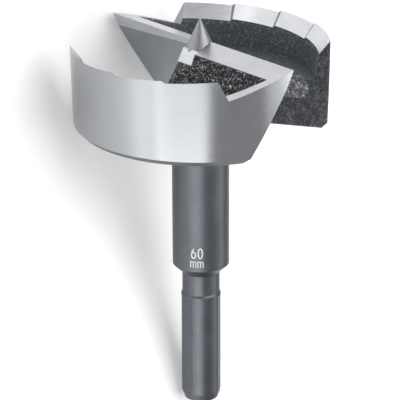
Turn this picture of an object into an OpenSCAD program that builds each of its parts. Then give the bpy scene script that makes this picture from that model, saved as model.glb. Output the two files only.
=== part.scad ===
// Forstner bit, forged and ground in one piece.
// The head is drawn about the bit's own axis: z = 0 at the cutting lips, +z towards the
// centre point, the first lip along +x. The finished bit then lies down on its side, as it
// comes to rest: on the two back corners of one chip opening and on the end of the shank.

/* [Head] */
// Cutting diameter over the rim teeth
cutting_d = 60; // [52:1:68]
// Height of the head from its underside to the lips
head_h = 20.2; // [17:0.1:26]
// Radius lost along the outer wall from the lips to the underside
wall_taper = 0.54; // [0.2:0.02:1]
// Chamfer round the underside of the head
underside_chamfer = 1.3; // [0.6:0.1:2]

/* [Lips] */
// Distance of each cutting edge ahead of the axis
lip_lead = 1.1; // [0.6:0.1:2]
// Undercut of the narrow land below a cutting edge, in degrees
land_rake = 26; // [22:1:28]
// Depth of that land at the axis
land_depth_axis = 1.4; // [0.8:0.1:2.5]
// Depth of that land at the rim
land_depth_rim = 3.4; // [2.6:0.1:4.5]
// Undercut of the face below the land, in degrees
face_rake = 30.6; // [29:0.2:34]
// Slope of the clearance behind a cutting edge, in degrees
lip_clearance = 15.5; // [12:0.5:18]
// Width of the clearance behind a cutting edge
lip_width = 5.7; // [4.5:0.1:7]
// Distance behind the edge at which the rim's steeper relief begins
relief_start = 8.9; // [7.5:0.1:10]
// Slope of that relief, in degrees
relief_clearance = 17.8; // [16:0.2:20]

/* [Rim teeth] */
// Angle from a lip back to the first tooth, in degrees
notch_angle = 34.2; // [31:0.2:37]
// Slant of the first tooth's front wall, in degrees
notch_slant = 26.3; // [20:0.1:34]
// Turn of the first tooth's front wall from the radius, which opens the notch inwards
notch_skew = 25; // [15:1:35]
// Teeth on each side of the rim
tooth_count = 4; // [3:1:5]
// Angle taken up by one tooth, in degrees
tooth_pitch = 23.8; // [19:0.2:25]
// Depth of the teeth's leading corners below the lips
tooth_set = 0.05; // [0.03:0.01:0.2]
// Fall of a tooth from its leading corner to its back
tooth_drop = 0.5; // [0.2:0.05:0.8]
// Slope of the ramp up to the next tooth, in degrees
tooth_ramp = 20; // [16:1:30]
// Radial width of the bevel inside the teeth
bevel_w = 2.5; // [2:0.1:3.2]
// Height of the bevel inside the teeth
bevel_h = 3.15; // [2.6:0.05:3.6]

/* [Chip openings and pockets] */
// Direction square to a back face, measured back from the lip, in degrees
back_angle = 56.8; // [52:0.2:62]
// Distance of a back face from the axis at the lips
back_offset = 9.1; // [8:0.1:10.5]
// Lean of a back face, in degrees
back_lean = 14.2; // [10:0.2:16]
// Depth of a pocket's floor below the lips
pocket_depth = 9.5; // [8:0.1:12]
// Draft of a web's back wall, in degrees
web_draft = 24; // [16:1:28]
// Draft of the rim's inner wall, in degrees
rim_draft = 12.2; // [8:0.2:15]
// Radius of the rounded nose along a floor's open edge
nose_r = 2.9; // [1.8:0.1:3.2]
// Distance that the nose stands out of the back face
nose_proud = 0.9; // [0.4:0.1:1.4]
// Height that the nose stands over the pocket floor
nose_rise = 0.15; // [0.1:0.05:0.4]
// Distance that the nose runs in under the rim's inner wall
nose_lap = 0.3; // [0:0.1:1]

/* [Hub] */
// Height of the centre point above the lips
point_h = 5.3; // [4:0.1:7]
// Half angle of the centre point and the hub, in degrees
point_half_angle = 25; // [22:0.5:27]
// Drop of the hub's foot below the underside
hub_drop = 0.05; // [0.03:0.01:0.2]
// Radius of the blunted tip
tip_r = 0.12; // [0.08:0.02:0.3]
// Distance from the axis to the inner end of each web's back
web_start = 3.3; // [2.6:0.1:4]
// Half length of the flat ground on each side of the hub
pad_half = 2.2; // [1.6:0.1:2.6]
// Depth of the top of that flat below the lips
pad_top = 1.4; // [1:0.1:1.8]
// Depth of its lower end below the lips
pad_end = 4.4; // [3.6:0.1:5]
// Distance that the flat runs on into the web
pad_lap = 0.3; // [0.2:0.1:0.6]
// Slope of that flat from upright, in degrees
pad_slope = 31; // [28:0.5:34]

/* [Shank] */
// Diameter of the collar below the head
collar_d = 13.4; // [12:0.1:15]
// Length of the collar
collar_h = 34.7; // [25:0.1:45]
// Flare where the collar meets the head
collar_flare = 1.8; // [1:0.1:2.5]
// Length of the cone under the collar
cone_h = 2.2; // [1.5:0.1:3]
// Diameter of the neck above the clamped end
neck_d = 8.9; // [8:0.1:9.2]
// Length of the neck
neck_h = 5; // [3:0.1:7]
// Diameter of the clamped end
shank_d = 9.4; // [9.2:0.1:11]
// Length of the clamped end
shank_h = 27.1; // [22:0.1:34]
// Bevel at the top of the clamped end
shoulder_bevel = 0.45; // [0.2:0.05:0.8]
// Height of the bevel at the foot of the clamped end
foot_bevel_h = 1.8; // [0.8:0.1:2.4]
// Radius lost in that bevel
foot_bevel_w = 0.6; // [0.4:0.1:1.2]
// Flats round the clamped end
flat_count = 3; // [3:1:3]
// Depth of each flat
flat_depth = 0.24; // [0.15:0.01:0.4]
// Round band at the top of the clamped end, into which the flats run out
flat_band = 0.8; // [0.5:0.1:1.5]
// Height of that band over the round lands between the flats
band_step = 0.05; // [0.04:0.01:0.08]
// Direction of the first flat from the lip, in degrees
flat_angle = 36; // [30:1:40]

/* [Hidden] */
$fn = 120;

// Room that cutting shapes take beyond the metal
spare = 1;
reach = 1.2 * cutting_d;
half_turn = 180;

// Radii and heights of the head
rim_r = cutting_d / 2;
foot_r = rim_r - wall_taper;
hub_h = head_h + hub_drop + point_h;
hub_r = hub_h * tan(point_half_angle);
bevel_slope = bevel_h / bevel_w;
tooth_tilt = asin(tooth_drop / (rim_r * sin(tooth_pitch)));

// Offset and turn of the face below a lip's land: it meets the land along a line that lies
// deeper at the rim than at the axis
rake_change = tan(face_rake) - tan(land_rake);
face_offset = lip_lead + rake_change * land_depth_axis;
face_turn = atan(rake_change * (land_depth_rim - land_depth_axis) / rim_r);

// Heights down the shank
collar_end = -head_h - collar_h;
neck_top = collar_end - cone_h;
shoulder = neck_top - neck_h;
shank_top = shoulder - shoulder_bevel;
shank_end = shank_top - shank_h;
foot_bevel_top = shank_end + foot_bevel_h;
band_end = shank_top - flat_band;
flat_end = band_end + flat_band / 4;
shank_r = shank_d / 2;
land_r = shank_r - band_step;
end_r = land_r - foot_bevel_w;

// Back corners of a chip opening, on the upper edge of the underside chamfer
corner_z = underside_chamfer - head_h;
corner_r = wall_r(corner_z);
rake_corner = rake_edge_angle(corner_z);
back_corner = half_turn - back_angle - acos((back_offset + corner_z * tan(back_lean)) / corner_r);

// Lying down: the opening ahead of the second lip faces the floor
opening_middle = (rake_corner + back_corner) / 2;
corner_drop = corner_r * cos((back_corner - rake_corner) / 2);
lie_tilt = atan((corner_drop - land_r) / (corner_z - foot_bevel_top));
shank_floor = foot_bevel_top * sin(lie_tilt) - land_r * cos(lie_tilt);
edge_steps = 40;
rake_floor = min([for (k = [0 : edge_steps]) rake_edge_height(corner_z * k / edge_steps)]);
floor_z = min(shank_floor, rake_floor);
tip_angle = asin(lip_lead / rim_r);
front_x = rim_r * cos(tip_angle - opening_middle) * sin(lie_tilt);
rear_x = shank_end * cos(lie_tilt) - end_r * sin(lie_tilt);

// Radius of the outer wall, and direction and resting height of the edge where the rake
// face leaves it, at height z
function wall_r(z) = rim_r + wall_taper * z / head_h;
function rake_edge_angle(z) =
    face_turn + asin((face_offset + z * tan(face_rake)) * cos(face_turn) / wall_r(z));
function rake_edge_height(z) =
    z * sin(lie_tilt) - wall_r(z) * cos(rake_edge_angle(z) - opening_middle) * cos(lie_tilt);

// Radius of the rim's inner wall at height z
function inner_r(z) = rim_r - bevel_w + (bevel_h + z) * tan(rim_draft);

// Everything with y above 0
module ahead() {
    translate([-reach, 0, -reach]) cube(2 * reach);
}

// Everything with z above 0
module above() {
    translate([-reach, -reach, 0]) cube(2 * reach);
}

// Blank of the head: tapered wall with a chamfer round the underside
module head_blank() {
    rotate_extrude()
        polygon([
            [0, -head_h],
            [foot_r - underside_chamfer, -head_h],
            [corner_r, corner_z],
            [rim_r, 0],
            [0, 0],
        ]);
}

// Space ahead of the first lip: the land below the edge, then the steeper face
module ahead_of_lip() {
    translate([0, lip_lead, 0])
        rotate([-land_rake, 0, 0])
            ahead();
    translate([0, face_offset, 0])
        rotate([0, 0, face_turn])
            rotate([-face_rake, 0, 0])
                ahead();
}

// Metal of the first web, ahead of its back wall and out from its inner end
module web() {
    intersection() {
        translate([web_start, -reach, -reach]) cube(2 * reach);
        translate([0, lip_lead - lip_width, -lip_width * tan(lip_clearance)])
            rotate([-web_draft, 0, 0])
                ahead();
    }
}

// Chip opening ahead of the first lip, up to the back face and web of the other side
module chip_opening() {
    difference() {
        intersection() {
            ahead_of_lip();
            rotate([0, 0, half_turn - back_angle])
                translate([back_offset, 0, 0])
                    rotate([back_lean, 0, 90])
                        ahead();
        }
        rotate([0, 0, half_turn]) web();
    }
}

// Pocket behind the first web, inside the rim and open towards the back face
module pocket() {
    top = point_h + spare;
    intersection() {
        translate([0, lip_lead - lip_width, -lip_width * tan(lip_clearance)])
            rotate([web_draft, 0, half_turn])
                ahead();
        rotate_extrude()
            polygon([
                [0, -pocket_depth],
                [inner_r(-pocket_depth), -pocket_depth],
                [inner_r(top), top],
                [0, top],
            ]);
    }
}

// Ground clearance behind the first lip, over the whole web and along the rim's relief down
// to the front wall of the first tooth
module lip_grind() {
    intersection() {
        translate([0, -reach, -reach]) cube(2 * reach);
        rotate([0, 0, -notch_angle])
            translate([rim_r, 0, 0])
                rotate([notch_slant, 0, notch_skew])
                    ahead();
        union() {
            translate([0, lip_lead, 0])
                rotate([lip_clearance, 0, 0])
                    above();
            translate([0, lip_lead - relief_start, -relief_start * tan(lip_clearance)])
                rotate([relief_clearance, 0, 0])
                    above();
        }
    }
}

// Space over the ramp that climbs to the leading corner of a tooth: its plane holds the
// line of the bevel at that corner
module over_ramp(angle) {
    rotate([0, 0, angle])
        translate([rim_r, 0, -tooth_set])
            rotate([0, -atan(bevel_slope), 0])
                rotate([-tooth_ramp, 0, 0])
                    above();
}

// Space over one tooth's bevel: a cone tilted about the tooth's leading corner
module over_bevel(angle, lead, trail) {
    translate([0, 0, -tooth_set])
        rotate([0, 0, angle])
            rotate([tooth_tilt, 0, 0])
                rotate([0, 0, -tooth_pitch - trail])
                    rotate_extrude(angle = tooth_pitch + lead + trail)
                        polygon([
                            [rim_r - bevel_w - spare, -bevel_h - spare * bevel_slope],
                            [rim_r + spare, spare * bevel_slope],
                            [rim_r + spare, bevel_h],
                            [rim_r - bevel_w - spare, bevel_h],
                        ]);
}

// Grind of the rim teeth behind the first lip, one cut per tooth
module tooth_grind() {
    lead = tooth_pitch / 6;
    trail = tooth_pitch * 3 / 5;
    for (k = [0 : tooth_count - 1]) {
        angle = -notch_angle - k * tooth_pitch;
        intersection() {
            over_bevel(angle, lead, trail);
            if (k < tooth_count - 1) over_ramp(angle - tooth_pitch);
            else above_floor();
        }
    }
}

// Everything over the pocket floors
module above_floor() {
    translate([0, 0, -pocket_depth]) above();
}

// Rounded nose along the open edge of a pocket's floor
module nose() {
    z = nose_rise - pocket_depth - nose_r;
    x = back_offset + z * tan(back_lean) + nose_r - nose_proud;
    nose_end = inner_r(-pocket_depth) + nose_lap - nose_r;
    length = sqrt(nose_end * nose_end - x * x);
    rotate([0, 0, -back_angle])
        translate([x, 0, z])
            rotate([90, 0, 0]) {
                cylinder(h = length, r = nose_r);
                translate([0, 0, length]) sphere(r = nose_r);
            }
}

// Flat ground on the hub behind the first lip, where the web's back ends
module hub_pad() {
    top_y = (pad_top + point_h) * tan(point_half_angle);
    translate([-pad_half, 0, 0])
        rotate([90, 0, 90])
            linear_extrude(pad_half + web_start + pad_lap)
                polygon([
                    [0, -pad_top],
                    [-top_y, -pad_top],
                    [-top_y - (pad_end - pad_top) * tan(pad_slope), -pad_end],
                    [0, -pad_end],
                ]);
}

// Both sides of the head, with the hub and its centre point
module head() {
    difference() {
        head_blank();
        for (side = [0, half_turn])
            rotate([0, 0, side]) {
                chip_opening();
                pocket();
                lip_grind();
                tooth_grind();
            }
    }
    for (side = [0, half_turn])
        rotate([0, 0, side]) {
            nose();
            hub_pad();
        }
    translate([0, 0, point_h - hub_h])
        cylinder(h = hub_h, r1 = hub_r, r2 = tip_r);
}

// Collar, neck and clamped end
module shank() {
    difference() {
        rotate_extrude()
            polygon([
                [0, shank_end],
                [end_r, shank_end],
                [land_r, foot_bevel_top],
                [land_r, band_end],
                [shank_r, band_end],
                [shank_r, shank_top],
                [neck_d / 2, shoulder],
                [neck_d / 2, neck_top],
                [collar_d / 2, collar_end],
                [collar_d / 2, -head_h - collar_flare],
                [collar_d / 2 + collar_flare, -head_h],
                [0, -head_h],
            ]);
        for (k = [0 : flat_count - 1])
            rotate([0, 0, flat_angle + k * 360 / flat_count])
                translate([shank_r - flat_depth, -shank_r, shank_end - spare])
                    cube([shank_r, shank_d, flat_end - shank_end + spare]);
    }
}

module forstner_bit() {
    color("silver")
        translate([-(front_x + rear_x) / 2, 0, -floor_z])
            rotate([0, 90 - lie_tilt, 0])
                rotate([0, 0, half_turn - opening_middle]) {
                    head();
                    shank();
                }
}

forstner_bit();
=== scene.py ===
"""Looks of a forstner bit: ground rim and lips, forged pockets, gunmetal shank, size mark."""

import math
from itertools import product

import bpy
import numpy as np
from bpy.props import FloatProperty, FloatVectorProperty, IntProperty, PointerProperty
from mathutils import Matrix, Vector


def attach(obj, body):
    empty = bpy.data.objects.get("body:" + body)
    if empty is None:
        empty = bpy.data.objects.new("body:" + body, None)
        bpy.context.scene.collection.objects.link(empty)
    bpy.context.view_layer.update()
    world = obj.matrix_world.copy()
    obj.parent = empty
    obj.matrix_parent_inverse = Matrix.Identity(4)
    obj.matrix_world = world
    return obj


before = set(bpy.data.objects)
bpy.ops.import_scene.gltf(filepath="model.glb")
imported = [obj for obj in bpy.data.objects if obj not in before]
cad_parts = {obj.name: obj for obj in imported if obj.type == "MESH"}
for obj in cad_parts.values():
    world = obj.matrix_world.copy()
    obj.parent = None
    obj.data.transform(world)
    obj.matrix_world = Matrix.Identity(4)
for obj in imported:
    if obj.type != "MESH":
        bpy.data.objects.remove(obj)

bl_info = {
    "name": "Forstner bit finish",
    "version": (1, 0, 0),
    "blender": (4, 5, 0),
    "location": "3D View > Sidebar > Bit",
    "description": "Finishes a forstner bit and sets it on a plain stage",
    "category": "Object",
}

NODE = "forstner_bit"
MM = 0.001
SIDES = (0.0, math.pi)

# The bit's own frame in millimetres: z along the axis towards the point with the lips at 0,
# x along the first lip. The lying bit is that frame turned and moved.
HEAD_TURN = math.radians(168.8325)
AXIS_TURN = math.radians(73.2309)
BIT_ORIGIN = (39.2294, 0.0, 29.8670)
VIEW_TURN = math.radians(48.44)

# Ground finishes: stretch of the grinding lines, roughness, depth of the lines, streakiness.
GROUND = {
    "wall": ((0.16, 0.16, 9.0), 0.24, 0.03, 0.4),
    "lip": ((0.16, 6.0, 6.0), 0.3, 0.25, 1.0),
    "bevel": ((0.4, 0.4, 7.0), 0.3, 0.25, 1.0),
    "land": ((0.3, 3.0, 3.0), 0.3, 0.25, 1.0),
    "rake": ((0.3, 3.0, 3.0), 0.34, 0.25, 1.0),
    "point": ((3.0, 3.0, 0.3), 0.48, 0.25, 1.0),
    # The ramps' dark colour in the finish settings is painted shade.
    "ramp": ((3.0, 3.0, 3.0), 0.36, 0.25, 1.0),
}
# Forged finishes: heights between which grains wear bare, and how much the strands show.
FORGED = {
    "scale": ((0.85, 1.35), 0.45),
    "pocket": ((1.15, 1.5), 0.7),
    "back": ((0.6, 1.2), 0.4),
    "nose": ((0.8, 1.25), 0.8),
}
# Lights: place, width and height, power in watts, target. Places face the camera, in millimetres.
HEAD_MIDDLE = (0.0, 0.0, -10.0)
LIGHTS = {
    "key_light": ((-79.5, -216.0, -52.0), (257.0, 105.0), 0.13, (0.0, 0.0, -52.0)),
    "shank_light": ((-85.0, -214.0, -202.0), (245.0, 195.0), 0.39, (0.0, 0.0, -202.0)),
    "side_light": ((350.0, 0.0, -150.0), (150.0, 300.0), 0.2, (0.0, 0.0, -150.0)),
    "front_light": ((715.0, -385.0, 385.0), (1080.0, 1080.0), 7.4, HEAD_MIDDLE),
    "upper_light": ((-117.0, -614.0, 900.0), (420.0, 420.0), 0.32, HEAD_MIDDLE),
    "far_light": ((-700.0, -360.0, 830.0), (600.0, 700.0), 2.4, HEAD_MIDDLE),
    "bounce_light": ((-43.0, -105.0, -28.0), (50.0, 50.0), 0.033, (-96.0, -99.0, -49.0)),
    "end_light": ((342.0, -96.0, -116.0), (206.0, 60.0), 0.066, (0.0, 0.0, -116.0)),
    "fill_light": ((200.0, -257.0, -137.0), (250.0, 120.0), 0.017, HEAD_MIDDLE),
}


class BitSizes(bpy.types.PropertyGroup):
    """Sizes of the bit that its finish follows, in millimetres and degrees."""

    rim_r: FloatProperty(name="Rim radius", description="Radius over the rim teeth", default=30.0)
    head_h: FloatProperty(name="Head height", description="Underside to lips", default=20.2)
    wall_taper: FloatProperty(name="Wall taper", description="Radius lost down the wall", default=0.54)
    chamfer: FloatProperty(name="Chamfer", description="Chamfer round the underside", default=1.3)
    lip_lead: FloatProperty(name="Lip lead", description="Edge ahead of the axis", default=1.1)
    lip_width: FloatProperty(name="Lip width", description="Width of the clearance", default=5.7)
    lip_clearance: FloatProperty(
        name="Lip clearance", description="Slope behind the lip", default=math.radians(15.5), subtype="ANGLE"
    )
    relief_start: FloatProperty(name="Relief start", description="Start of the rim's relief", default=8.9)
    relief_clearance: FloatProperty(
        name="Relief slope", description="Slope of that relief", default=math.radians(17.8), subtype="ANGLE"
    )
    notch_angle: FloatProperty(
        name="Notch angle", description="Lip to first tooth", default=math.radians(34.2), subtype="ANGLE"
    )
    notch_slant: FloatProperty(
        name="Notch slant", description="Slant of the front wall", default=math.radians(26.3), subtype="ANGLE"
    )
    notch_skew: FloatProperty(
        name="Notch skew", description="Turn of that front wall", default=math.radians(25.0), subtype="ANGLE"
    )
    tooth_count: IntProperty(name="Teeth", description="Teeth on each side", default=4)
    tooth_pitch: FloatProperty(
        name="Tooth pitch", description="Angle of one tooth", default=math.radians(23.8), subtype="ANGLE"
    )
    tooth_set: FloatProperty(name="Tooth set", description="Corners below the lips", default=0.05)
    tooth_drop: FloatProperty(name="Tooth drop", description="Fall along a tooth", default=0.5)
    bevel_w: FloatProperty(name="Bevel width", description="Bevel inside the teeth", default=2.5)
    bevel_h: FloatProperty(name="Bevel height", description="Height of that bevel", default=3.15)
    back_angle: FloatProperty(
        name="Back angle", description="Direction of a back face", default=math.radians(56.8), subtype="ANGLE"
    )
    back_offset: FloatProperty(name="Back offset", description="Back face from the axis", default=9.1)
    back_lean: FloatProperty(
        name="Back lean", description="Lean of a back face", default=math.radians(14.2), subtype="ANGLE"
    )
    pocket_depth: FloatProperty(name="Pocket depth", description="Floor below the lips", default=9.5)
    web_start: FloatProperty(name="Web start", description="Inner end of a web", default=3.3)
    web_draft: FloatProperty(
        name="Web draft", description="Draft of a web's back", default=math.radians(24.0), subtype="ANGLE"
    )
    rim_draft: FloatProperty(
        name="Rim draft", description="Draft of the inner wall", default=math.radians(12.2), subtype="ANGLE"
    )
    nose_r: FloatProperty(name="Nose radius", description="Radius of the nose", default=2.9)
    nose_proud: FloatProperty(name="Nose proud", description="Nose out of the back face", default=0.9)
    nose_rise: FloatProperty(name="Nose rise", description="Nose over the floor", default=0.15)
    nose_lap: FloatProperty(name="Nose lap", description="Nose under the inner wall", default=0.3)
    point_h: FloatProperty(name="Point height", description="Point above the lips", default=5.3)
    point_half_angle: FloatProperty(
        name="Point angle", description="Half angle of the hub", default=math.radians(25.0), subtype="ANGLE"
    )
    pad_half: FloatProperty(name="Pad half width", description="Pad beside the hub", default=2.2)
    pad_end: FloatProperty(name="Pad end", description="Foot of the pad", default=4.4)
    pad_slope: FloatProperty(
        name="Pad slope", description="Slope of the pad", default=math.radians(31.0), subtype="ANGLE"
    )
    collar_r: FloatProperty(name="Collar radius", description="Radius of the collar", default=6.7)


class SkinSettings(bpy.types.PropertyGroup):
    """How coarse the forged skin of the pockets is, in millimetres."""

    step: FloatProperty(name="Step", description="Spacing of the skin's points", default=0.125)
    grain: FloatProperty(name="Grain", description="Size of a grain", default=0.38)
    relief: FloatProperty(name="Relief", description="Height of a grain", default=0.12)
    lift: FloatProperty(name="Lift", description="Skin over the solid", default=0.03)
    tuck: FloatProperty(name="Tuck", description="Edges sunk below the solid", default=0.12)
    border: FloatProperty(name="Border", description="Width over which edges sink", default=0.3)


class MarkSettings(bpy.types.PropertyGroup):
    """The size mark on the collar, in millimetres and degrees."""

    turn: FloatProperty(
        name="Turn", description="Angle of the mark from the lip", default=math.radians(-49.6), subtype="ANGLE"
    )
    digit_h: FloatProperty(name="Digit height", description="Height of the digits", default=2.7)
    digit_z: FloatProperty(name="Digit place", description="Centre of the digits", default=-50.2)
    unit_h: FloatProperty(name="Unit height", description="Height of the unit", default=1.6)
    unit_z: FloatProperty(name="Unit place", description="Centre of the unit", default=-53.0)
    width: FloatProperty(name="Width", description="Width of the mark", default=3.2)
    stroke: FloatProperty(name="Stroke", description="Width of a stroke", default=0.29)
    proud: FloatProperty(name="Proud", description="Mark over the collar", default=0.012)
    sunk: FloatProperty(name="Sunk", description="Foot of the mark in the collar", default=0.03)
    stagger: FloatProperty(name="Stagger", description="Rise from stroke to stroke", default=0.0006)


class FinishSettings(bpy.types.PropertyGroup):
    """Colours of the ground steel, forged scale, shank, mark and floor."""

    # Wall, lip, bevel, land, rake and point are one ground steel. Their colours are lit and shaded copies of
    # it, painted light and shade: darker on the wall, rake and point, brighter on the bevels and lands.
    wall: FloatVectorProperty(
        name="Wall", description="Ground outer wall", default=(0.35, 0.36, 0.378), subtype="COLOR"
    )
    lip: FloatVectorProperty(
        name="Lip", description="Ground behind the lips", default=(0.57, 0.577, 0.6), subtype="COLOR"
    )
    bevel: FloatVectorProperty(
        name="Bevel", description="Bevels of the teeth", default=(0.68, 0.689, 0.717), subtype="COLOR"
    )
    land: FloatVectorProperty(
        name="Land", description="Lands and pads", default=(0.69, 0.702, 0.736), subtype="COLOR"
    )
    rake: FloatVectorProperty(
        name="Rake", description="Faces under the lips", default=(0.36, 0.378, 0.409), subtype="COLOR"
    )
    point: FloatVectorProperty(
        name="Point", description="Centre point", default=(0.38, 0.387, 0.4), subtype="COLOR"
    )
    # Ramp is the same ground steel made much darker: painted shade for the shadowed step faces between the
    # teeth.
    ramp: FloatVectorProperty(
        name="Ramp", description="Ramps between teeth", default=(0.22, 0.226, 0.237), subtype="COLOR"
    )
    scale_dark: FloatVectorProperty(
        name="Scale", description="Scale in the pockets", default=(0.076, 0.085, 0.1), subtype="COLOR"
    )
    scale_bare: FloatVectorProperty(
        name="Scale worn", description="Its bare grains", default=(0.42, 0.43, 0.45), subtype="COLOR"
    )
    pocket_dark: FloatVectorProperty(
        name="Web", description="Scale on webs and hub", default=(0.01, 0.011, 0.013), subtype="COLOR"
    )
    pocket_bare: FloatVectorProperty(
        name="Web worn", description="Its bare grains", default=(0.7, 0.71, 0.73), subtype="COLOR"
    )
    back_dark: FloatVectorProperty(
        name="Back", description="Scale on the back faces", default=(0.028, 0.031, 0.037), subtype="COLOR"
    )
    back_bare: FloatVectorProperty(
        name="Back worn", description="Its bare grains", default=(0.18, 0.187, 0.2), subtype="COLOR"
    )
    nose_dark: FloatVectorProperty(
        name="Nose", description="Scale on the noses", default=(0.075, 0.079, 0.086), subtype="COLOR"
    )
    nose_bare: FloatVectorProperty(
        name="Nose worn", description="Its bare grains", default=(0.66, 0.67, 0.69), subtype="COLOR"
    )
    shank_dark: FloatVectorProperty(
        name="Shank", description="Darkest gunmetal", default=(0.104, 0.111, 0.122), subtype="COLOR"
    )
    shank_pale: FloatVectorProperty(
        name="Shank pale", description="Palest gunmetal", default=(0.132, 0.142, 0.156), subtype="COLOR"
    )
    mark_dark: FloatVectorProperty(
        name="Mark", description="Darkest of the mark", default=(0.6, 0.611, 0.63), subtype="COLOR"
    )
    mark_pale: FloatVectorProperty(
        name="Mark pale", description="Palest of the mark", default=(0.74, 0.75, 0.77), subtype="COLOR"
    )
    floor: FloatVectorProperty(
        name="Floor", description="Floor of the stage", default=(0.9, 0.9, 0.9), subtype="COLOR"
    )


class StageSettings(bpy.types.PropertyGroup):
    """Floor, lights and camera. Places are in the bit's frame turned to face the camera."""

    floor_size: FloatProperty(name="Floor size", description="Side of the floor", default=4.0, unit="LENGTH")
    camera_place: FloatVectorProperty(
        name="Camera place", description="Camera in millimetres", default=(-0.165, -578.68, 187.15)
    )
    camera_dip: FloatProperty(
        name="Camera dip", description="Dip of the view", default=math.radians(21.371), subtype="ANGLE"
    )
    camera_roll: FloatProperty(
        name="Camera roll", description="Roll of the view", default=math.radians(-0.216), subtype="ANGLE"
    )
    lens: FloatProperty(name="Lens", description="Focal length on a 36 mm sensor", default=238.32)
    floor_lift: FloatProperty(name="Floor lift", description="White added to the floor", default=0.21)
    world: FloatProperty(name="Room", description="Level of the room's light", default=0.33)



def lying_matrix():
    """Turn of the bit's frame into the lying frame: about the axis, then over onto its side."""
    return Matrix.Rotation(AXIS_TURN, 3, "Y") @ Matrix.Rotation(HEAD_TURN, 3, "Z")


def to_lying(points):
    """Points of the bit's frame in millimetres, turned, moved and scaled to the row in metres."""
    turn = np.array(lying_matrix())
    return (np.asarray(points) @ turn.T + np.array(BIT_ORIGIN)) * MM


def to_bit(points):
    """Points of the row in metres, brought back to the bit's frame in millimetres."""
    turn = np.array(lying_matrix())
    return (np.asarray(points) / MM - np.array(BIT_ORIGIN)) @ turn


def spun(points, angle):
    """Points turned about the bit's axis: x and y mixed by the cosine and sine of the angle."""
    c, s = math.cos(angle), math.sin(angle)
    points = np.asarray(points, float)
    x, y, z = points[..., 0], points[..., 1], points[..., 2]
    return np.stack([c * x - s * y, s * x + c * y, z], -1)


def from_view(vector):
    """A direction or place of the frame that faces the camera, in the bit's frame."""
    return spun(np.asarray(vector, float), VIEW_TURN)


def mesh_piece(name, verts, faces, material, attributes=None, smooth=True):
    """Object of that name from arrays of points in metres and corner numbers, riding the bit."""
    mesh = bpy.data.meshes.new(name)
    mesh.from_pydata(np.asarray(verts).tolist(), [], np.asarray(faces).tolist())
    mesh.polygons.foreach_set("use_smooth", np.full(len(mesh.polygons), smooth))
    for key, values in (attributes or {}).items():
        layer = mesh.attributes.new(key, "FLOAT", "POINT")
        layer.data.foreach_set("value", np.asarray(values, np.float32))
    mesh.materials.append(material)
    mesh.update()
    piece = bpy.data.objects.new(name, mesh)
    bpy.context.scene.collection.objects.link(piece)
    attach(piece, "root")
    return piece


def grid_faces(rows, columns, keep):
    """Quads of a grid whose points are numbered row by row, where all four corners are kept."""
    n = np.arange(rows * columns).reshape(rows, columns)
    quads = np.stack([n[:-1, :-1], n[:-1, 1:], n[1:, 1:], n[1:, :-1]], -1).reshape(-1, 4)
    return quads[keep.reshape(-1)[quads].all(1)]


def packed(points, faces, values):
    """The points that faces use, renumbered, with their values."""
    used, inverse = np.unique(faces.reshape(-1), return_inverse=True)
    return points[used], inverse.reshape(faces.shape), values[used]


def lattice(cells, salt):
    """A number from 0 to 1 for each whole-number cell, by mixing its three indices."""
    cells = cells.astype(np.int64)
    mixed = cells[..., 0] * 73856093 ^ cells[..., 1] * 19349663 ^ cells[..., 2] * 83492791 ^ salt * 2654435
    mixed = (mixed ^ (mixed >> 13)) * 1274126177 & 0xFFFFFFFF
    mixed = (mixed ^ (mixed >> 16)) * 668265263 & 0xFFFFFFFF
    return ((mixed ^ (mixed >> 15)) & 0xFFFFFF) / float(0xFFFFFF)


def cell_grains(points, size, salt):
    """Closeness to the nearest of scattered points, one in each cell: 1 on it, falling to 0."""
    scaled = points / size
    base = np.floor(scaled)
    nearest = np.full(points.shape[:-1], 9.0)
    for step in product((-1, 0, 1), repeat=3):
        cell = base + np.array(step)
        seed = np.stack([lattice(cell, salt + k) for k in range(3)], -1)
        nearest = np.minimum(nearest, np.linalg.norm(cell + seed - scaled, axis=-1))
    return np.clip(1 - nearest, 0, 1)


def soft_noise(points, size, salt):
    """Smooth noise from 0 to 1: lattice numbers blended along each axis by an eased weight."""
    scaled = points / size
    base = np.floor(scaled)
    part = scaled - base
    part = part * part * (3 - 2 * part)
    total = np.zeros(points.shape[:-1])
    for corner in product((0, 1), repeat=3):
        weight = np.prod(np.where(np.array(corner), part, 1 - part), -1)
        total += weight * lattice(base + np.array(corner), salt)
    return total



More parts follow.
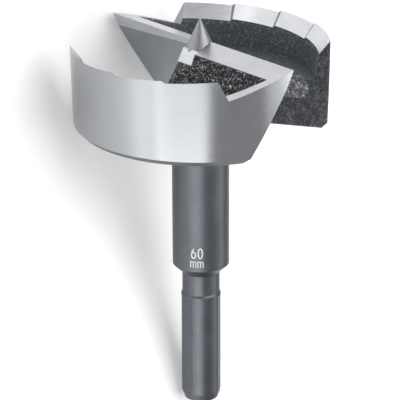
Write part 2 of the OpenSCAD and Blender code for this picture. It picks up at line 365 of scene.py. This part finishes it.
class Head:
    """The head's surfaces and how deep a point lies below each ground or open face, in mm."""

    def __init__(self, sizes):
        self.s = sizes
        self.bevel_slope = sizes.bevel_h / sizes.bevel_w
        self.tooth_tilt = math.asin(
            sizes.tooth_drop / (sizes.rim_r * math.sin(sizes.tooth_pitch))
        )
        self.hub_top = -sizes.pad_end
        self.hub_slope = math.sin(sizes.point_half_angle)
        self.web_top_y = sizes.lip_lead - sizes.lip_width
        self.web_top_z = -sizes.lip_width * math.tan(sizes.lip_clearance)

    def inner_r(self, z):
        """Radius of the rim's inner wall at height z."""
        s = self.s
        return s.rim_r - s.bevel_w + (s.bevel_h + z) * math.tan(s.rim_draft)

    def wall_r(self, z):
        """Radius of the outer wall at height z."""
        return self.s.rim_r + self.s.wall_taper * z / self.s.head_h

    def hub_r(self, z):
        """Radius of the hub's cone at height z."""
        return (self.s.point_h - z) * math.tan(self.s.point_half_angle)

    def below_lip_grind(self, p):
        """Depth below the lip's clearance and the rim's relief, ahead of the first tooth."""
        s = self.s
        x, y, z = p[..., 0], p[..., 1], p[..., 2]
        lip, relief = s.lip_clearance, s.relief_clearance
        flank = math.cos(lip) * z - math.sin(lip) * (y - s.lip_lead)
        drop = s.relief_start * math.tan(lip)
        rear = math.cos(relief) * (z + drop) - math.sin(relief) * (y - s.lip_lead + s.relief_start)
        turned = spun(p, s.notch_angle)
        slant, skew = s.notch_slant, s.notch_skew
        across = math.cos(skew) * turned[..., 1] - math.sin(skew) * (turned[..., 0] - s.rim_r)
        notch = math.cos(slant) * across + math.sin(slant) * z
        return -np.minimum(np.minimum(x, notch), np.maximum(flank, rear))

    def below_teeth(self, p):
        """Depth below the lowest bevel of the teeth that reach over a point."""
        s = self.s
        depth = np.full(p.shape[:-1], 50.0)
        c, sn = math.cos(self.tooth_tilt), math.sin(self.tooth_tilt)
        steep = math.hypot(1, self.bevel_slope)
        inner = s.rim_r - s.bevel_w - 1.0
        lead, lag = math.radians(4.0), math.radians(2.5)
        for k in range(s.tooth_count):
            q = spun(p + np.array((0, 0, s.tooth_set)), s.notch_angle + k * s.tooth_pitch)
            x, y, z = q[..., 0], c * q[..., 1] + sn * q[..., 2], c * q[..., 2] - sn * q[..., 1]
            angle = np.arctan2(y, x)
            reach = (angle > -s.tooth_pitch - lead) & (angle < lag) & (np.hypot(x, y) > inner)
            below = -(z - self.bevel_slope * (np.hypot(x, y) - s.rim_r)) / steep
            depth = np.where(reach, np.minimum(depth, below), depth)
        return depth

    def behind_back(self, p):
        """Depth behind the leaning back face at the open end of the pocket."""
        s = self.s
        turn, lean = -s.back_angle, s.back_lean
        along = p[..., 0] * math.cos(turn) + p[..., 1] * math.sin(turn) - s.back_offset
        return math.cos(lean) * along - math.sin(lean) * p[..., 2]

    def inside_wall(self, p):
        """Depth inside the outer wall and above the underside and its chamfer."""
        s = self.s
        r, z = np.hypot(p[..., 0], p[..., 1]), p[..., 2]
        chamfer = (z + s.head_h + self.wall_r(-s.head_h) - r - s.chamfer) / math.sqrt(2)
        return np.minimum(np.minimum(self.wall_r(z) - r, z + s.head_h), chamfer)

    def ground_depth(self, p):
        """Depth below every ground face of the rim and web."""
        return np.minimum(self.below_lip_grind(p), self.below_teeth(p))

    def rim_wall(self, step):
        """Inner wall of the rim: points of a cone by angle and height, normals inwards and up."""
        s = self.s
        radius = self.inner_r(-s.pocket_depth)
        angle = np.radians(np.arange(-146, -12, np.degrees(step / radius)))
        height = np.arange(-s.pocket_depth - 0.4, -1.0, step)
        a, z = np.meshgrid(angle, height)
        draft = s.rim_draft
        r = self.inner_r(z)
        p = np.stack([r * np.cos(a), r * np.sin(a), z], -1)
        n = np.stack([-np.cos(a) * math.cos(draft), -np.sin(a) * math.cos(draft),
                      np.full_like(a, math.sin(draft))], -1)
        edge = np.minimum(self.ground_depth(p), self.behind_back(p))
        return p, n, edge

    def web_back(self, step):
        """Back of the web: points of a leaning plane by distance out and down."""
        s = self.s
        draft = s.web_draft
        length = (s.pocket_depth + self.web_top_z + 0.4) / math.cos(draft)
        x, d = np.meshgrid(np.arange(s.web_start, s.rim_r - 2.0, step), np.arange(0.0, length, step))
        p = np.stack([x, self.web_top_y - d * math.sin(draft), self.web_top_z - d * math.cos(draft)], -1)
        n = np.broadcast_to(np.array((0, -math.cos(draft), math.sin(draft))), p.shape)
        edge = np.minimum(np.minimum(self.ground_depth(p), d), x - s.web_start + 0.05)
        return p[:, ::-1], n[:, ::-1], edge[:, ::-1]

    def floor(self, step):
        """Floor of the pocket: points of a level plane, normals up."""
        s = self.s
        reach = self.inner_r(-s.pocket_depth) + 0.3
        x, y = np.meshgrid(np.arange(-reach, reach, step), np.arange(-reach, -7.6, step))
        p = np.stack([x, y, np.full_like(x, -s.pocket_depth)], -1)
        n = np.broadcast_to(np.array((0.0, 0.0, 1.0)), p.shape)
        edge = np.minimum(self.behind_back(p), 5 * (reach - np.hypot(x, y)))
        return p, n, edge

    def back_face(self, step):
        """Back face: points of a leaning plane by distance out and height."""
        s = self.s
        turn, lean = -s.back_angle, s.back_lean
        out, z = np.meshgrid(np.arange(2.0, s.rim_r, step), np.arange(-s.head_h, -1.0, step))
        near = s.back_offset + z * math.tan(lean)
        p = np.stack([near * math.cos(turn) + out * math.sin(turn),
                      near * math.sin(turn) - out * math.cos(turn), z], -1)
        normal = (-math.cos(lean) * math.cos(turn), -math.cos(lean) * math.sin(turn), math.sin(lean))
        n = np.broadcast_to(np.array(normal), p.shape)
        r = np.hypot(p[..., 0], p[..., 1])
        rim = np.minimum(self.below_teeth(p), r - self.inner_r(z))
        edge = np.minimum(self.inside_wall(p), np.maximum(-s.pocket_depth - z, rim))
        return p, n, edge

    def hub(self, step):
        """Lower hub inside the pocket: points of a cone by angle and height, normals outwards."""
        s = self.s
        half = s.point_half_angle
        top, low = self.hub_top, -s.head_h
        height = np.arange(top, low, -step * math.cos(half))
        angle = np.radians(np.arange(-182, 2, np.degrees(step / self.hub_r(-s.pocket_depth))))
        a, z = np.meshgrid(angle, height)
        r = self.hub_r(z)
        p = np.stack([r * np.cos(a), r * np.sin(a), z], -1)
        n = np.stack([np.cos(a) * math.cos(half), np.sin(a) * math.cos(half),
                      np.full_like(a, math.sin(half))], -1)
        edge = np.minimum(z - low, top - z)
        return p[:, ::-1], n[:, ::-1], edge[:, ::-1]

    def nose(self, step):
        """Nose: a cylinder with a ball end along the floor's open edge."""
        s = self.s
        z0 = s.nose_rise - s.pocket_depth - s.nose_r
        x0 = s.back_offset + z0 * math.tan(s.back_lean) + s.nose_r - s.nose_proud
        end = self.inner_r(-s.pocket_depth) + s.nose_lap - s.nose_r
        length = math.sqrt(end * end - x0 * x0)
        along = np.arange(0.0, length + s.nose_r, step)
        past = np.clip(along - length, 0, s.nose_r)
        round_ = np.arange(math.radians(60), math.radians(250), step / s.nose_r)
        t, a = np.meshgrid(round_, along)
        lift = np.meshgrid(round_, np.clip(past / s.nose_r, 0, 0.999))[1]
        ring = np.sqrt(1 - lift * lift)
        n = np.stack([ring * np.cos(t), -lift, ring * np.sin(t)], -1)
        p = n * s.nose_r + np.stack([np.full_like(t, x0), -np.clip(a, 0, length), np.full_like(t, z0)], -1)
        turn = -s.back_angle
        p, n = spun(p, turn), spun(n, turn)
        edge = np.full(t.shape, 9.0)
        return p, n, edge


def forged_patch(surface, skin, stretch, salt):
    """Points of a surface pushed out along its normals by grains and soft waves, sunk at edges.

    A point moves by lift + relief x (grains, finer grains, thin fibres and soft waves added up).
    Within the border of an open edge it eases down to -tuck, and quads at the edge are left out."""
    p, n, edge = surface
    scaled = p * np.array(stretch)
    grains = cell_grains(scaled, skin.grain, salt)
    fine = cell_grains(scaled, skin.grain * 0.5, salt + 7)
    waves = soft_noise(p, skin.grain * 3.2, salt + 11)
    fibres = (1 - np.abs(2 * soft_noise(scaled, skin.grain * 1.1, salt + 19) - 1)) ** 3
    height = np.clip(0.4 * grains + 0.3 * fine + 0.34 * fibres + 0.4 * (waves - 0.5), 0, 1)
    ease = np.clip(edge / skin.border, 0, 1)
    ease = ease * ease * (3 - 2 * ease)
    push = ease * (skin.lift + skin.relief * height) - (1 - ease) * skin.tuck
    moved = p + n * push[..., None]
    faces = grid_faces(*edge.shape, edge > 0.03)
    return packed(moved.reshape(-1, 3), faces, height.reshape(-1))


def both_sides(patch):
    """A patch on both sides of the head: the second turned half round the axis."""
    verts, faces, values = patch
    points = np.concatenate([spun(verts, side) for side in SIDES])
    corners = np.concatenate([faces + k * len(verts) for k in range(len(SIDES))])
    return to_lying(points), corners, np.concatenate([values] * len(SIDES))



class Field:
    """A socket of a material's nodes that can be added, multiplied and so on."""

    def __init__(self, nodes, socket):
        self.nodes = nodes
        self.socket = socket

    def math(self, operation, *others, clamp=False):
        """A Math node on this value and the others."""
        node = self.nodes.new("ShaderNodeMath")
        node.operation = operation
        node.use_clamp = clamp
        for k, value in enumerate((self,) + others):
            plug(self.nodes, value, node.inputs[k])
        return Field(self.nodes, node.outputs[0])

    def __add__(self, other):
        return self.math("ADD", other)

    __radd__ = __add__

    def __mul__(self, other):
        return self.math("MULTIPLY", other)

    __rmul__ = __mul__

    def __sub__(self, other):
        return self.math("SUBTRACT", other)

    def __rsub__(self, other):
        return (self * -1.0) + other

    def ramp(self, low, high):
        """0 at low, 1 at high and eased between them."""
        node = self.nodes.new("ShaderNodeMapRange")
        node.interpolation_type = "SMOOTHSTEP"
        plug(self.nodes, self, node.inputs["Value"])
        node.inputs["From Min"].default_value = low
        node.inputs["From Max"].default_value = high
        return Field(self.nodes, node.outputs["Result"])


def plug(nodes, value, socket):
    """A field linked into a socket, or a plain value set on it."""
    if isinstance(value, Field):
        nodes.id_data.links.new(value.socket, socket)
    else:
        socket.default_value = value


class Finish:
    """A material's node tree with the bit's own coordinates in millimetres."""

    def __init__(self, name):
        self.material = bpy.data.materials.new(name)
        self.material.use_nodes = True
        self.nodes = self.material.node_tree.nodes
        self.shader = self.nodes["Principled BSDF"]
        place = self.node("ShaderNodeTexCoord", "Object")
        self.bit = self.node("ShaderNodeMapping", "Vector", {"Vector": place}, vector_type="TEXTURE")
        mapping = self.bit.socket.node
        mapping.inputs["Location"].default_value = Vector(BIT_ORIGIN) * MM
        mapping.inputs["Rotation"].default_value = lying_matrix().to_euler("XYZ")
        mapping.inputs["Scale"].default_value = (MM, MM, MM)

    def node(self, kind, output, inputs=None, **settings):
        """Any node: its settings, its inputs by name, and one of its outputs as a field."""
        node = self.nodes.new(kind)
        for key, value in settings.items():
            setattr(node, key, value)
        for key, value in (inputs or {}).items():
            plug(self.nodes, value, node.inputs[key])
        return Field(self.nodes, node.outputs[output])

    def set(self, **values):
        """Values or fields into the shader's sockets, named with underscores for spaces."""
        for key, value in values.items():
            plug(self.nodes, value, self.shader.inputs[key.replace("_", " ")])

    def noise(self, stretch, scale, detail=3.0, rough=0.55):
        """Noise over the bit's coordinates, each axis multiplied by its own stretch."""
        vector = self.node(
            "ShaderNodeVectorMath", "Vector", {0: self.bit, 1: stretch}, operation="MULTIPLY"
        )
        return self.node(
            "ShaderNodeTexNoise", "Fac",
            {"Vector": vector, "Scale": scale, "Detail": detail, "Roughness": rough},
        )

    def mix(self, factor, low, high):
        """A colour from low to high by the factor."""
        node = self.nodes.new("ShaderNodeMix")
        node.data_type = "RGBA"
        plug(self.nodes, factor, node.inputs["Factor"])
        colours = [k for k in node.inputs if k.type == "RGBA"]
        for socket, colour in zip(colours, (low, high)):
            plug(self.nodes, colour if isinstance(colour, Field) else (*colour, 1.0), socket)
        return Field(self.nodes, next(k for k in node.outputs if k.type == "RGBA"))

    def bump(self, height, strength, distance):
        """A normal from a height in units of the given distance in millimetres."""
        self.set(Normal=self.node(
            "ShaderNodeBump", "Normal",
            {"Height": height, "Strength": strength, "Distance": distance * MM},
        ))


def ground_finish(name, colour, stretch, roughness, lines, streak):
    """Ground steel: fine lines along the grinding direction and faint cloudy wear."""
    f = Finish(name)
    fine = f.noise(stretch, 1.0, detail=1.5, rough=0.6)
    broad = f.noise((0.12, 0.12, 0.12), 1.0)
    shade = (fine * 0.7 + broad * 0.5).ramp(0.35, 0.85)
    dark = tuple((1 - 0.18 * streak) * c for c in colour)
    f.set(
        Base_Color=f.mix(shade, dark, colour),
        Metallic=1.0,
        Roughness=roughness + (fine - 0.5) * (0.14 * streak) + (broad - 0.5) * 0.08,
    )
    f.bump(fine, lines, 0.02)
    return f.material


def forged_finish(name, dark, bare, wear, strands):
    """Forged scale: dark oxide, with bare metal on the highest grains and along thin strands."""
    f = Finish(name)
    height = f.node("ShaderNodeAttribute", "Fac", attribute_name="grain")
    fleck = f.noise((1, 1, 1), 2.6, detail=4.0, rough=0.7)
    patch = f.noise((1, 1, 1), 0.3, detail=2.0)
    thread = 0.0
    for stretch in ((1.1, 1.1, 0.4), (0.4, 1.1, 1.1)):
        wander = f.noise(stretch, 1.0, detail=1.0)
        near = (wander - 0.5).math("ABSOLUTE")
        thread = (1.0 - near.ramp(0.015, 0.06)) + thread
    worn = (height * 0.75 + fleck * 0.5 + patch * 0.25).ramp(*wear)
    worn = (worn + thread * strands * fleck.ramp(0.45, 0.66)).math("MINIMUM", 1.0)
    f.set(
        Base_Color=f.mix(worn, dark, bare),
        Metallic=0.35 + worn * 0.45,
        Roughness=0.6 - worn * 0.15,
    )
    f.bump(fleck, 0.5, 0.1)
    return f.material


def shank_finish(name, dark, pale):
    """Gunmetal shank: satin turned steel, faintly blue-green, with fine turning marks."""
    f = Finish(name)
    turned = f.noise((0.3, 0.3, 7.0), 1.0, detail=4.0, rough=0.65)
    cloud = f.noise((0.35, 0.35, 0.2), 1.0)
    shade = (turned * 0.5 + cloud * 0.7).ramp(0.35, 0.85)
    f.set(
        Base_Color=f.mix(shade, dark, pale),
        Metallic=1.0,
        Roughness=0.42 + (turned - 0.5) * 0.12 + (cloud - 0.5) * 0.08,
    )
    f.bump(turned, 0.35, 0.02)
    return f.material


def mark_finish(name, dark, pale):
    """Laser mark: matt near-white, a little uneven."""
    f = Finish(name)
    cloud = f.noise((1, 1, 1), 3.0, detail=4.0)
    f.set(
        Base_Color=f.mix(cloud.ramp(0.3, 0.7), dark, pale),
        Roughness=0.6 + (cloud - 0.5) * 0.2,
    )
    return f.material


def floor_finish(name, colour, lift):
    """Plain pale floor, lifted towards white where the camera or the metal sees it."""
    f = Finish(name)
    path = f.node("ShaderNodeLightPath", "Is Camera Ray")
    outputs = path.socket.node.outputs
    seen = path + Field(f.nodes, outputs["Is Glossy Ray"]) + Field(f.nodes, outputs["Is Transmission Ray"])
    f.set(
        Base_Color=(*colour, 1.0),
        Roughness=0.9,
        Specular_IOR_Level=0.0,
        Emission_Color=f.mix(seen, (0.0, 0.0, 0.0), (1.0, 1.0, 1.0)),
        Emission_Strength=lift,
    )
    return f.material



def face_regions(head, p, n):
    """Name of each face's finish, from its centre and its normal in the bit's frame.

    A face is told by its place, by how far its normal points up, outwards or across the radius,
    and by its distance from the hub's cone. Later rules win over earlier ones."""
    s = head.s
    r, z = np.hypot(p[:, 0], p[:, 1]), p[:, 2]
    arm = np.maximum(r, 1e-6)
    outward = (p[:, 0] * n[:, 0] + p[:, 1] * n[:, 1]) / arm
    across = np.abs(p[:, 0] * n[:, 1] - p[:, 1] * n[:, 0]) / arm
    up = n[:, 2]
    at_rim = r >= s.rim_r - 3.2
    in_head = z > -s.head_h + 0.01
    near_top = z > -6.5
    undercut = (up < -0.35) & (np.abs(n[:, 1]) > 0.8)
    on_cone = (np.abs(r - head.hub_r(z)) < 0.3) & (np.abs(up - head.hub_slope) < 0.06)
    toothed = at_rim & (z > -7.0) & (up > 0.28) & (up < 0.93)
    pad_side = (np.abs(n[:, 0]) > 0.95) & (np.abs(np.abs(p[:, 0]) - s.pad_half) < 0.1)
    pad_flat = (np.abs(up - math.sin(s.pad_slope)) < 0.04) | (np.abs(up) > 0.95)
    pad = (r < 8.0) & (z > -s.pad_end - 0.2) & (pad_side | pad_flat)
    underside = (z < -s.head_h + s.chamfer) & (up < -0.3) & (r > 9.0)

    region = np.full(len(p), "scale", dtype="<U8")
    # Ground faces are sorted into wall, lip, bevel, land, rake, point and ramp. Their colours are lit and
    # shaded copies of one steel, so this sorting places painted light and shade.
    region[(outward > 0.9) & (r > s.rim_r - 1.5)] = "wall"
    region[undercut & in_head] = "rake"
    region[undercut & (up > -0.475) & (z > -5.0)] = "land"
    region[(up > 0.85) & near_top] = "lip"
    region[(up > 0.3) & at_rim & near_top & (region == "scale")] = "bevel"
    region[on_cone & (outward > 0.8)] = "point"
    # Step faces between the teeth take the ramp colour, which is painted shade.
    region[toothed & (across > 0.15)] = "ramp"
    region[toothed & (across > 0.5)] = "rake"
    region[pad & (region == "scale")] = "land"
    region[~in_head & (r < 9.0)] = "shank"
    region[underside & (region == "scale")] = "shank"
    return region


def forged_material(name, colours):
    """Forged scale of that name with its own dark and bare colours."""
    dark, bare = getattr(colours, name + "_dark"), getattr(colours, name + "_bare")
    return forged_finish("forged_" + name, tuple(dark), tuple(bare), *FORGED[name])


class BIT_OT_regions(bpy.types.Operator):
    """Give each face of the solid the finish of its region"""

    bl_idname = "bit.regions"
    bl_label = "Finish the solid"

    def execute(self, context):
        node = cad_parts[NODE]
        mesh = node.data
        colours = context.scene.bit_finish
        finishes = {
            name: ground_finish("ground_" + name, tuple(getattr(colours, name)), *look)
            for name, look in GROUND.items()
        }
        finishes["scale"] = forged_material("scale", colours)
        finishes["shank"] = shank_finish(
            "shank_gunmetal", tuple(colours.shank_dark), tuple(colours.shank_pale)
        )
        mesh.materials.clear()
        for material in finishes.values():
            mesh.materials.append(material)
        count = len(mesh.polygons)
        centre, normal = np.empty(count * 3), np.empty(count * 3)
        mesh.polygons.foreach_get("center", centre)
        mesh.polygons.foreach_get("normal", normal)
        p = to_bit(centre.reshape(-1, 3))
        n = normal.reshape(-1, 3) @ np.array(lying_matrix())
        region = face_regions(Head(context.scene.bit_sizes), p, n)
        index = np.argmax(region[:, None] == np.array(list(finishes)), axis=1)
        mesh.polygons.foreach_set("material_index", index.astype(np.int32))
        mesh.update()
        return {"FINISHED"}


class BIT_OT_forged_skin(bpy.types.Operator):
    """Lay the grainy forged skin over the pockets and back faces"""

    bl_idname = "bit.forged_skin"
    bl_label = "Forged skin"

    def execute(self, context):
        skin = context.scene.bit_skin
        colours = context.scene.bit_finish
        head = Head(context.scene.bit_sizes)
        scale = bpy.data.materials["forged_scale"]
        pocket, back, nose = (forged_material(name, colours) for name in ("pocket", "back", "nose"))
        even, upright = (1.0, 1.0, 1.0), (1.3, 1.3, 0.5)
        patches = {
            "forged_rim_walls": (head.rim_wall, even, 3, scale),
            "forged_web_backs": (head.web_back, even, 17, pocket),
            "forged_floors": (head.floor, even, 29, scale),
            "forged_back_faces": (head.back_face, upright, 41, back),
            "forged_noses": (head.nose, even, 53, nose),
            "forged_hubs": (head.hub, even, 67, pocket),
        }
        for name, (surface, stretch, salt, material) in patches.items():
            patch = forged_patch(surface(skin.step), skin, stretch, salt)
            verts, faces, grain = both_sides(patch)
            mesh_piece(name, verts, faces, material, {"grain": grain})
        return {"FINISHED"}


def ribbon(path, closed, stroke):
    """Left, right points of a stroke: the path moved half its width along its side normals."""
    path = np.asarray(path, float)
    ahead = np.roll(path, -1, 0) - np.roll(path, 1, 0)
    if not closed:
        ahead[0], ahead[-1] = path[1] - path[0], path[-1] - path[-2]
    ahead /= np.linalg.norm(ahead, axis=1)[:, None]
    side = np.stack([-ahead[:, 1], ahead[:, 0]], 1) * stroke / 2
    return path + side, path - side


def arc(centre, radii, start, end, count=28):
    """Points of an ellipse from one angle to another, in degrees."""
    a = np.radians(np.linspace(start, end, count))
    return np.stack([centre[0] + radii[0] * np.cos(a), centre[1] + radii[1] * np.sin(a)], 1)


def line(start, end, count=8):
    """Points of a straight stroke."""
    t = np.linspace(0, 1, count)[:, None]
    return np.array(start) * (1 - t) + np.array(end) * t


def digit_paths(m):
    """Strokes of the digits, six and nought: ellipses, and an arc for the six's stem."""
    half = (m.digit_h - m.stroke) / 2
    wide = (m.width / 2 - 0.32 - m.stroke) / 2
    six, nought = -m.width / 4, m.width / 4
    low = m.digit_z - half * 0.38
    return [
        (arc((nought, m.digit_z), (wide, half), 0, 360, 49)[:-1], True),
        (arc((six, low), (wide, half * 0.62), 0, 360, 41)[:-1], True),
        (arc((six + wide, low), (wide * 2, half * 1.38), 180, 112, 22), False),
    ]


def unit_paths(m):
    """Strokes of the unit's two letters: a stem each, and two arches that end in legs."""
    strokes = []
    low = m.unit_z - m.unit_h / 2
    gap = (m.width / 2 - 0.38) / 2
    spring = low + m.unit_h - gap * 0.5 - m.stroke * 0.3
    for left in (-m.width / 2 + 0.1, 0.24):
        strokes.append((line((left, low), (left, low + m.unit_h)), False))
        for middle in (left + gap * 0.5, left + gap * 1.5):
            top = arc((middle, spring), (gap / 2, gap / 2), 180, 0, 14)
            leg = line(top[-1], (middle + gap / 2, low))[1:]
            strokes.append((np.concatenate([top, leg]), False))
    return strokes


def stroke_band(path, closed, width, radius, turn, heights):
    """A stroke wrapped round the collar: its foot, top, top and foot lines, joined by quads.

    A point's sideways place becomes an angle, place / radius, and each line its own height."""
    left, right = ribbon(path, closed, width)
    count = len(left)
    foot, top = heights
    lines = []
    for flat, rise in ((left, foot), (left, top), (right, top), (right, foot)):
        a = turn + flat[:, 0] / radius
        lines.append(np.stack([(radius + rise) * np.cos(a), (radius + rise) * np.sin(a), flat[:, 1]], 1))
    ring = np.arange(count)
    after = np.roll(ring, -1)
    if not closed:
        ring, after = ring[:-1], after[:-1]
    faces = []
    for a, b in ((0, 1), (1, 2), (2, 3)):
        quad = np.stack([ring + a * count, ring + b * count, after + b * count, after + a * count], 1)
        faces.append(quad[:, ::-1])
    if not closed:
        cap = np.array([[0, count, 2 * count, 3 * count]])
        faces += [cap, cap[:, ::-1] + count - 1]
    return np.concatenate(lines), np.concatenate(faces)


class BIT_OT_size_mark(bpy.types.Operator):
    """Mark the cutting size on the collar"""

    bl_idname = "bit.size_mark"
    bl_label = "Size mark"

    def execute(self, context):
        m = context.scene.bit_mark
        colours = context.scene.bit_finish
        radius = context.scene.bit_sizes.collar_r
        strokes = [(*stroke, m.stroke) for stroke in digit_paths(m)]
        strokes += [(*stroke, m.stroke * 0.72) for stroke in unit_paths(m)]
        verts, faces, start = [], [], 0
        for k, (path, closed, width) in enumerate(strokes):
            heights = (-m.sunk, m.proud + m.stagger * k)
            points, corners = stroke_band(path, closed, width, radius, m.turn, heights)
            verts.append(points)
            faces.append(corners + start)
            start += len(points)
        finish = mark_finish("laser_mark", tuple(colours.mark_dark), tuple(colours.mark_pale))
        mesh_piece(
            "size_mark", to_lying(np.concatenate(verts)), np.concatenate(faces), finish, smooth=False
        )
        return {"FINISHED"}


def area_light(name, place, size, power, target):
    """A soft rectangular light at a place facing a target, both in the view's millimetres."""
    data = bpy.data.lights.new(name, "AREA")
    data.shape = "RECTANGLE"
    data.size, data.size_y = size[0] * MM, size[1] * MM
    data.energy = power
    lamp = bpy.data.objects.new(name, data)
    bpy.context.scene.collection.objects.link(lamp)
    there = Vector(to_lying(from_view(place)))
    aim = Vector(to_lying(from_view(target)))
    back = (there - aim).normalized()
    axis = Vector(to_lying(from_view((0, 0, 1))) - to_lying(from_view((0, 0, 0)))).normalized()
    right = axis.cross(back).normalized()
    up = back.cross(right)
    lamp.matrix_world = Matrix.Translation(there) @ Matrix((right, up, back)).transposed().to_4x4()
    return lamp


def add_floor(scene, stage, colour):
    """A square floor under the bit."""
    half = stage.floor_size / 2
    mesh = bpy.data.meshes.new("floor")
    corners = [(-half, -half, 0), (half, -half, 0), (half, half, 0), (-half, half, 0)]
    mesh.from_pydata(corners, [], [(0, 1, 2, 3)])
    mesh.materials.append(floor_finish("pale_floor", colour, stage.floor_lift))
    floor = bpy.data.objects.new("floor", mesh)
    scene.collection.objects.link(floor)


def add_room(scene, level):
    """An even white room round the stage."""
    world = bpy.data.worlds.new("room")
    world.use_nodes = True
    sky = world.node_tree.nodes["Background"]
    sky.inputs["Color"].default_value = (1.0, 1.0, 1.0, 1.0)
    sky.inputs["Strength"].default_value = level
    scene.world = world


def add_camera(scene, stage):
    """The camera, dipped and rolled in the frame that faces it."""
    data = bpy.data.cameras.new("camera")
    data.lens = stage.lens
    data.sensor_width = 36.0
    camera = bpy.data.objects.new("camera", data)
    scene.collection.objects.link(camera)
    dip, roll = stage.camera_dip, stage.camera_roll
    ahead = np.array((0.0, math.cos(dip), -math.sin(dip)))
    right, up = np.array((1.0, 0.0, 0.0)), np.array((0.0, math.sin(dip), math.cos(dip)))
    c, s = math.cos(roll), math.sin(roll)
    axes = (c * right + s * up, c * up - s * right, -ahead)
    turn = lying_matrix()
    columns = [turn @ Vector(from_view(axis)) for axis in axes]
    place = Vector(to_lying(from_view(np.array(stage.camera_place))))
    camera.matrix_world = Matrix.Translation(place) @ Matrix(columns).transposed().to_4x4()
    scene.camera = camera


class BIT_OT_stage(bpy.types.Operator):
    """Set up the floor, the lights, the room and the camera"""

    bl_idname = "bit.stage"
    bl_label = "Stage"

    def execute(self, context):
        scene = context.scene
        add_floor(scene, scene.bit_stage, tuple(scene.bit_finish.floor))
        for name, setting in LIGHTS.items():
            area_light(name, *setting)
        add_room(scene, scene.bit_stage.world)
        add_camera(scene, scene.bit_stage)
        scene.view_settings.view_transform = "Standard"
        return {"FINISHED"}


class BIT_PT_panel(bpy.types.Panel):
    """Sizes of the finish and one button per piece"""

    bl_idname = "BIT_PT_panel"
    bl_label = "Forstner bit"
    bl_space_type = "VIEW_3D"
    bl_region_type = "UI"
    bl_category = "Bit"

    def draw(self, context):
        for operator in OPERATORS:
            self.layout.operator(operator.bl_idname)
        for name, cls in GROUPS.items():
            for key in cls.__annotations__:
                self.layout.prop(getattr(context.scene, name), key)


GROUPS = {
    "bit_sizes": BitSizes,
    "bit_skin": SkinSettings,
    "bit_mark": MarkSettings,
    "bit_finish": FinishSettings,
    "bit_stage": StageSettings,
}
OPERATORS = (BIT_OT_regions, BIT_OT_forged_skin, BIT_OT_size_mark, BIT_OT_stage)


def register():
    """Add the groups, operators and panel."""
    for cls in (*GROUPS.values(), *OPERATORS, BIT_PT_panel):
        bpy.utils.register_class(cls)
    for key, cls in GROUPS.items():
        setattr(bpy.types.Scene, key, PointerProperty(type=cls))


def unregister():
    """Take them away again."""
    for key in GROUPS:
        delattr(bpy.types.Scene, key)
    for cls in (BIT_PT_panel, *reversed(OPERATORS), *reversed(list(GROUPS.values()))):
        bpy.utils.unregister_class(cls)


def main():
    """Run every step in order."""
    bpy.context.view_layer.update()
    register()
    bpy.ops.bit.regions()
    bpy.ops.bit.forged_skin()
    bpy.ops.bit.size_mark()
    bpy.ops.bit.stage()


if __name__ == "__main__":
    main()
